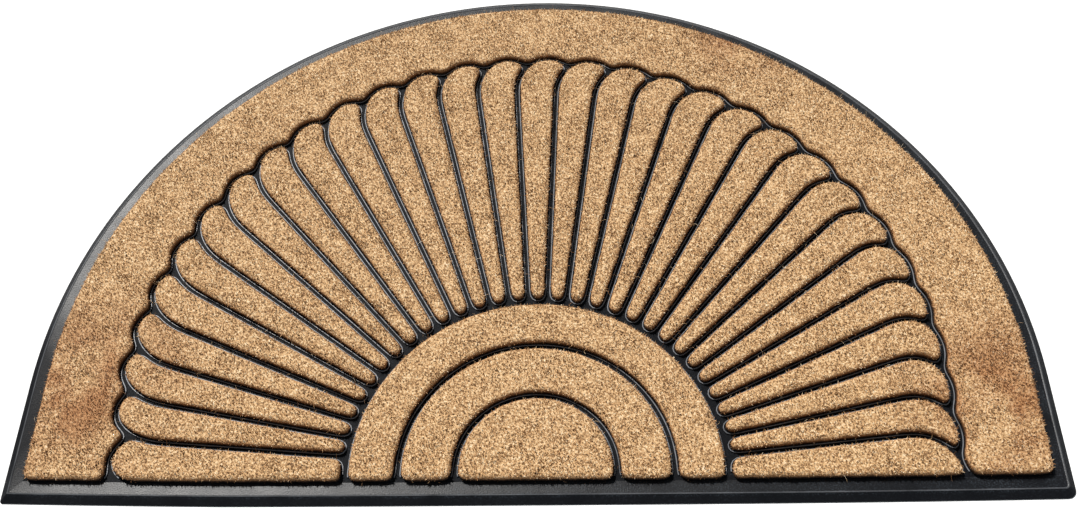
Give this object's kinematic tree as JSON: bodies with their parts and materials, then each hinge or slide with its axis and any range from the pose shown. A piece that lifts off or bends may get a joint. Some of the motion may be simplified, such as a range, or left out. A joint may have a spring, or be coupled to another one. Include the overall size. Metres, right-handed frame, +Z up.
{
  "type": "coir doormat",
  "caption": "Half-round coir doormat: a sunburst of coir pile blocks set in a moulded black rubber tray with a bevelled rim.",
  "frame": {"origin": "middle of the mat's footprint, on the floor under it", "axes": "+X along the straight edge, +Y towards the top of the arch, +Z up out of the pile"},
  "size_m": [1.219, 0.765, 0.016],
  "materials": {
    "rubber": "moulded black rubber, semi-matt, a little dusty on its flats and ribs",
    "coir": "dense cut coir pile, golden tan with straw and dark brown fibres"
  },
  "bodies": {
    "root": {"rubber_base": "rubber", "coir_border": "coir", "coir_petal_01": "coir", "coir_petal_02": "coir", "coir_petal_03": "coir", "coir_petal_04": "coir", "coir_petal_05": "coir", "coir_petal_06": "coir", "coir_petal_07": "coir", "coir_petal_08": "coir", "coir_petal_09": "coir", "coir_petal_10": "coir", "coir_petal_11": "coir", "coir_petal_12": "coir", "coir_petal_13": "coir", "coir_petal_14": "coir", "coir_petal_15": "coir", "coir_petal_16": "coir", "coir_petal_17": "coir", "coir_petal_18": "coir", "coir_petal_19": "coir", "coir_petal_20": "coir", "coir_petal_21": "coir", "coir_petal_22": "coir", "coir_petal_23": "coir", "coir_petal_24": "coir", "coir_petal_25": "coir", "coir_petal_26": "coir", "coir_petal_27": "coir", "coir_petal_28": "coir", "coir_petal_29": "coir", "coir_petal_30": "coir", "coir_petal_31": "coir", "coir_ring_outer": "coir", "coir_ring_inner": "coir", "coir_centre": "coir"}
  },
  "joints": []
}
